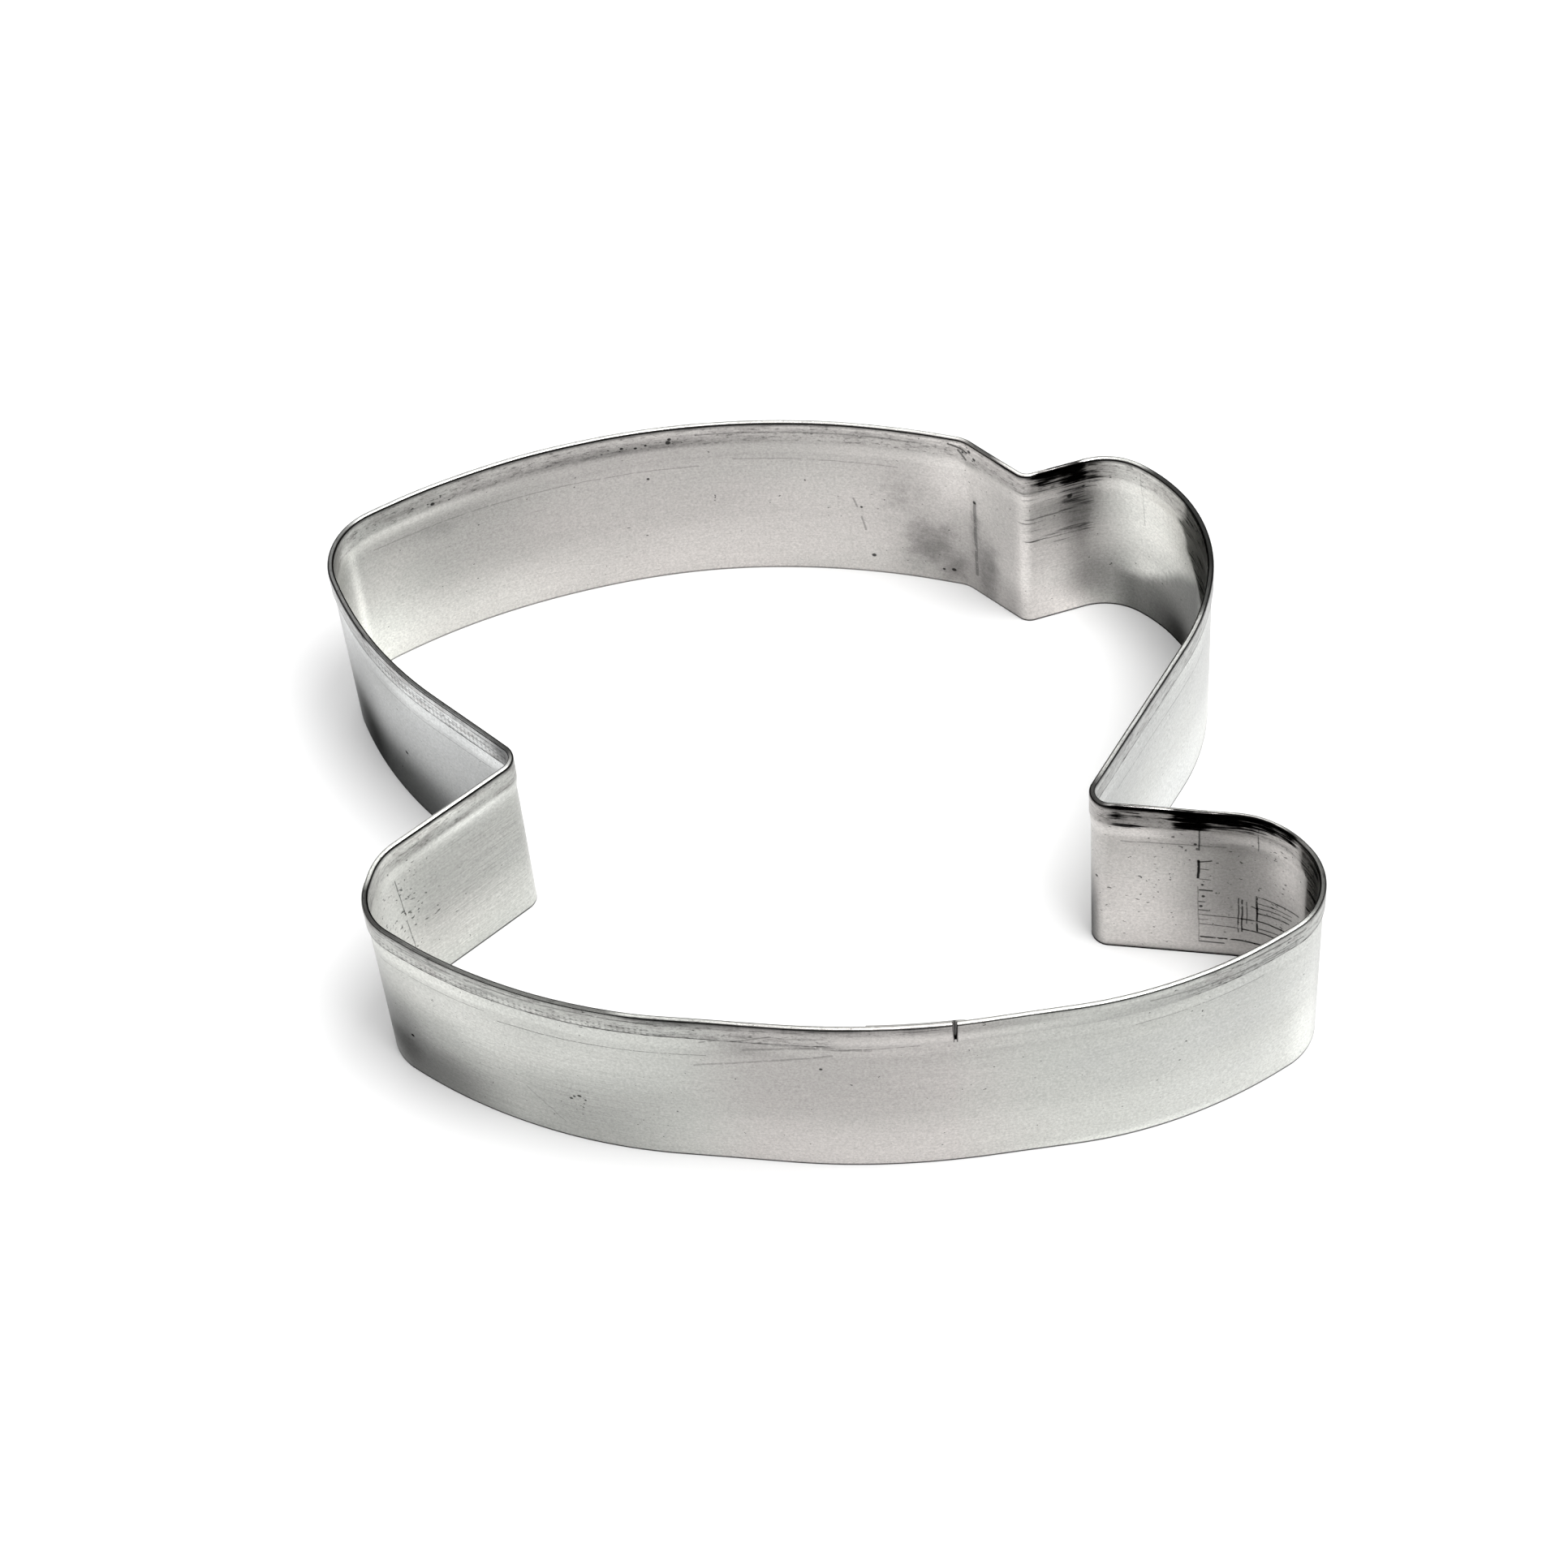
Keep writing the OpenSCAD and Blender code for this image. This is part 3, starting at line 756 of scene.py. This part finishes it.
TONE = 0.50
BUMP_STRENGTH, BUMP_DEPTH = 0.25, 0.00001
TICK_PITCH, ROW_PITCH = 0.62, 0.60  # of the roller's ticks, along and up
FACES_APART = 60.0  # keeps the marks of one face off the other

COOL, GREENISH, WARM = (0.985, 1.0, 0.995, 1), (0.989, 1.0, 0.948, 1), (1.0, 0.957, 0.925, 1)
STAINED = (1.0, 0.95, 0.925, 1)


def marks_left(n, s, z, out, noise):
    """The factor that all scratches and single pits leave of the tone."""
    wobble = n.spread(noise["wobble"], 0.24, 0.0)
    where = n.vector(n.math("ADD", s, wobble), n.math("ADD", z, wobble), n.times(out, FACES_APART))
    lines = []
    for facing, s0, z0, s1, z1, width, keep in SCRATCHES:
        face = facing * FACES_APART
        lines.append(n.scratch(where, (s0, z0, face), (s1, z1, face), width, keep))
    broken = n.ramp(noise["gaps"], 0.30, 0.44)
    left = n.math("MULTIPLY_ADD", n.math("SUBTRACT", n.times(*lines), 1.0), broken, 1.0)
    for facing, s0, z0, width in SPOTS:
        away = n.vector_math("DISTANCE", where, (s0, z0, facing * FACES_APART))
        left = n.times(left, n.ramp(away, width * 0.3, width * 0.6, SPOT_TONE, 1.0))
    return left


def steel():
    """Tinned strip steel: lengthwise grain, a stained and mottled hem, scratches and pits, and painted
    reflections and shade in its tone.
    """
    n = Nodes("band_steel")
    s, z, out = n.attribute("strip_s"), n.attribute("strip_z"), n.attribute("strip_out")
    ring = n.vector(n.attribute("strip_x"), n.attribute("strip_y"), n.math("MULTIPLY_ADD", out, 3.0, z))
    noise = {}
    for name, (along, up, detail, rough) in GRAINS.items():
        noise[name] = n.noise(n.vector_math("MULTIPLY", ring, (along, along, up)), 1.0, detail, rough)

    # masks of the stain marks, and of the near-black streaks, which in two zones inside are painted dark
    # reflection
    stained = n.math("SUBTRACT", 1.0, n.attribute("strip_clean"))
    in_hem = n.times(n.ramp(z, RAW_EDGE_Z - 0.25, RAW_EDGE_Z + 0.15), stained)
    mottle = n.times(n.ramp(noise["stain"], 0.44, 0.72), in_hem)
    flecks = n.times(n.ramp(noise["fleck"], 0.54, 0.66), in_hem)
    lines = n.times(n.ramp(noise["streak"], 0.52, 0.60), in_hem, n.ramp(out, 0.4, 0.6, 0.35, 1.0))
    black_streaks = n.ramp(n.spread(noise["streak"], 2.2, n.attribute("strip_black_streaks")), 0.38, 0.80)
    smudged = n.attribute("strip_smudge")
    smudge = n.times(n.ramp(n.spread(noise["billow"], 1.0, smudged), 0.10, 1.0), n.ramp(smudged, 0.02, 0.2))
    pits = n.ramp(n.math("MULTIPLY_ADD", n.attribute("strip_pits"), 0.11, noise["pit"]), 0.745, 0.775)
    columns = n.ramp(n.math("SINE", n.times(s, 2 * math.pi / TICK_PITCH)), -0.1, 0.7)
    rows = n.ramp(n.math("SINE", n.times(z, 2 * math.pi / ROW_PITCH)), -0.7, 0.1)
    ticks = n.times(columns, rows, n.attribute("strip_ticks"))

    # tone, which carries the painted reflections, highlights and shade laid on the strip
    tone = n.times(n.attribute("strip_tone_and_shading"), TONE)
    brushed = n.math("MULTIPLY_ADD", n.attribute("strip_brushed"), 0.9, 0.34)
    for name, by in (("cloud", 0.22), ("hair", brushed), ("dust", 1.0)):
        tone = n.times(tone, n.spread(noise[name], by, 1.0))
    stains_and_streaks = ((mottle, -0.24), (flecks, -0.50), (lines, -0.36), (black_streaks, -0.99), (smudge, -0.50))
    for mask, by in (*stains_and_streaks, (ticks, -0.45), (pits, -0.72)):
        tone = n.times(tone, n.math("MULTIPLY_ADD", mask, by, 1.0))
    tone = n.times(tone, n.ramp(z, 0.16, 0.36, n.attribute("strip_foot"), 1.0))
    from_edge = n.math("ABSOLUTE", n.math("SUBTRACT", z, RAW_EDGE_Z + 0.08))
    raw_edge = n.times(n.ramp(from_edge, 0.08, 0.22, 1.0, 0.0), out, in_hem)
    edge_tone = n.ramp(noise["fleck"], 0.35, 0.6, -0.25, -0.85)
    tone = n.times(tone, n.math("MULTIPLY_ADD", raw_edge, edge_tone, 1.0))
    tone = n.math("MINIMUM", n.times(tone, marks_left(n, s, z, out, noise)), 1.0)

    # tint
    warmth = n.spread(noise["cloud"], 1.2, n.attribute("strip_warmth"))
    colour = n.mix(n.ramp(warmth, -1.0, 0.0, smooth=False), COOL, GREENISH)
    colour = n.mix(n.ramp(warmth, 0.0, 1.0, smooth=False), colour, WARM)
    colour = n.mix(n.times(mottle, 0.6), colour, STAINED)
    n.link(n.vector_math("SCALE", colour, scale=tone), n.bsdf.inputs["Base Color"])

    # finish: rougher where it is stained, smoother on the fold, and the tint dark at a grazing view where the
    # tone is black and where dark reflections are painted
    rough = n.math("MULTIPLY_ADD", noise["hair"], 0.12, 0.27)
    rough = n.math("MULTIPLY_ADD", mottle, 0.15, rough)
    rough = n.times(rough, n.ramp(z, FOLD_Z - 0.05, FOLD_Z + 0.1, 1.0, 0.6))
    n.link(rough, n.bsdf.inputs["Roughness"])
    reflection_tint = n.times(n.ramp(tone, 0.0, 0.11, 0.25, 1.0, smooth=False), n.attribute("strip_reflection_tint"))
    n.link(reflection_tint, n.bsdf.inputs["Specular Tint"])
    n.bsdf.inputs["Metallic"].default_value = 1.0
    n.link(n.bump(noise["fine"], BUMP_STRENGTH, BUMP_DEPTH), n.bsdf.inputs["Normal"])
    return n.material


def floor_material():
    """Matt white card, very faintly clouded."""
    n = Nodes("studio_floor")
    where = n.add("TexCoord", ()).outputs["Object"]
    cloud = n.noise(where, 6.0, 2.0, 0.5)
    n.link(n.mix(cloud, (0.90, 0.90, 0.90, 1), (0.92, 0.92, 0.92, 1)), n.bsdf.inputs["Base Color"])
    n.bsdf.inputs["Roughness"].default_value = 0.9
    n.bsdf.inputs["Specular IOR Level"].default_value = 0.2
    return n.material


# The object

def build_band():
    """The hemmed strip, closed at the seam, with its lap behind it, as one piece."""
    end = OUTLINE.total
    stations = OUTLINE.stations()
    stations = stations[(stations > CLEAR_OF_SLIT) & (stations < end - CLEAR_OF_SLIT)]
    stations = np.concatenate([[0, NEXT_TO_SLIT], stations, [end - NEXT_TO_SLIT, end]])
    middle, facing = hemmed_middle()
    strip = sheet_mesh(middle, stations, facing, closed=True)
    beyond = math.sqrt(2 * LAP_BEND * GAUGE)  # where the lap has turned out into the wall
    lap_stations = np.arange(-LAP_LENGTH, beyond, LAP_PITCH)
    lap = sheet_mesh(wall_middle(LAP_TOP, LAP_PITCH), lap_stations, set_in=lap_set_in)
    return make_object("steel_band", [strip, lap], steel())


band = build_band()
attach(band, "root")
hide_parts("cutter_band")


# The studio, in metres

FLOOR_HALF = 3.0

# Brightness of the surroundings by height over the horizon, from 0 to 1. They are a pale ceiling in
# a dark room, and reach further down at the back than in front.
SKY = [(0.0, 0.02), (0.42, 0.04), (0.56, 1.0), (1.0, 1.15)]
SKY_TILT = (0.0, 0.14, 1.0)

KEY_PLACE = (0.224, -0.104, 0.76)
KEY_SIZE = 0.4
KEY_WATTS = 5.0

# The camera, fitted to the outline's upper and lower edges in a square frame
FRAME_PIXELS = 1932
FOCAL_PIXELS = 4946.19
SENSOR = 36.0  # millimetres
CAMERA_PLACE = Vector((29.673, -271.940, 356.359)) * MM
CAMERA_RIGHT = Vector((0.997184, 0.041249, -0.062632))
CAMERA_UP = Vector((0.006375, 0.785505, 0.618822))
CAMERA_AHEAD = Vector((-0.074723, 0.617479, -0.783030))


def build_floor():
    me = bpy.data.meshes.new("studio_floor")
    h = FLOOR_HALF
    me.from_pydata([(-h, -h, 0), (h, -h, 0), (h, h, 0), (-h, h, 0)], [], [(0, 1, 2, 3)])
    me.materials.append(floor_material())
    ob = bpy.data.objects.new("studio_floor", me)
    bpy.context.scene.collection.objects.link(ob)


def build_world():
    world = bpy.data.worlds.new("studio")
    bpy.context.scene.world = world
    world.use_nodes = True
    tree = world.node_tree
    height = tree.nodes.new("ShaderNodeVectorMath")
    height.operation = "DOT_PRODUCT"
    tree.links.new(tree.nodes.new("ShaderNodeTexCoord").outputs["Generated"], height.inputs[0])
    height.inputs[1].default_value = SKY_TILT
    ramp = tree.nodes.new("ShaderNodeValToRGB")
    tree.links.new(height.outputs["Value"], ramp.inputs[0])
    while len(ramp.color_ramp.elements) < len(SKY):
        ramp.color_ramp.elements.new(0.5)
    for element, (at, level) in zip(ramp.color_ramp.elements, SKY):
        element.position = at
        element.color = (level, level, level, 1)
    tree.links.new(ramp.outputs[0], tree.nodes["Background"].inputs["Color"])


def build_key():
    """A square soft light, high on the right, that aims at the middle of the cutter."""
    light = bpy.data.lights.new("key", "AREA")
    light.shape = "RECTANGLE"
    light.size = light.size_y = KEY_SIZE
    light.energy = KEY_WATTS
    ob = bpy.data.objects.new("key", light)
    ob.location = KEY_PLACE
    ob.rotation_euler = (-Vector(KEY_PLACE)).to_track_quat("-Z", "Y").to_euler()
    bpy.context.scene.collection.objects.link(ob)


def build_camera():
    camera = bpy.data.cameras.new("camera")
    camera.sensor_fit = "HORIZONTAL"
    camera.sensor_width = SENSOR
    camera.lens = SENSOR * FOCAL_PIXELS / FRAME_PIXELS
    camera.clip_start, camera.clip_end = 0.01, 20.0
    turn = Matrix((CAMERA_RIGHT, CAMERA_UP, -CAMERA_AHEAD)).transposed().to_4x4()
    ob = bpy.data.objects.new("camera", camera)
    ob.matrix_world = Matrix.Translation(CAMERA_PLACE) @ turn
    bpy.context.scene.collection.objects.link(ob)
    bpy.context.scene.camera = ob


build_floor()
build_world()
build_key()
build_camera()
bpy.context.scene.view_settings.view_transform = "Standard"
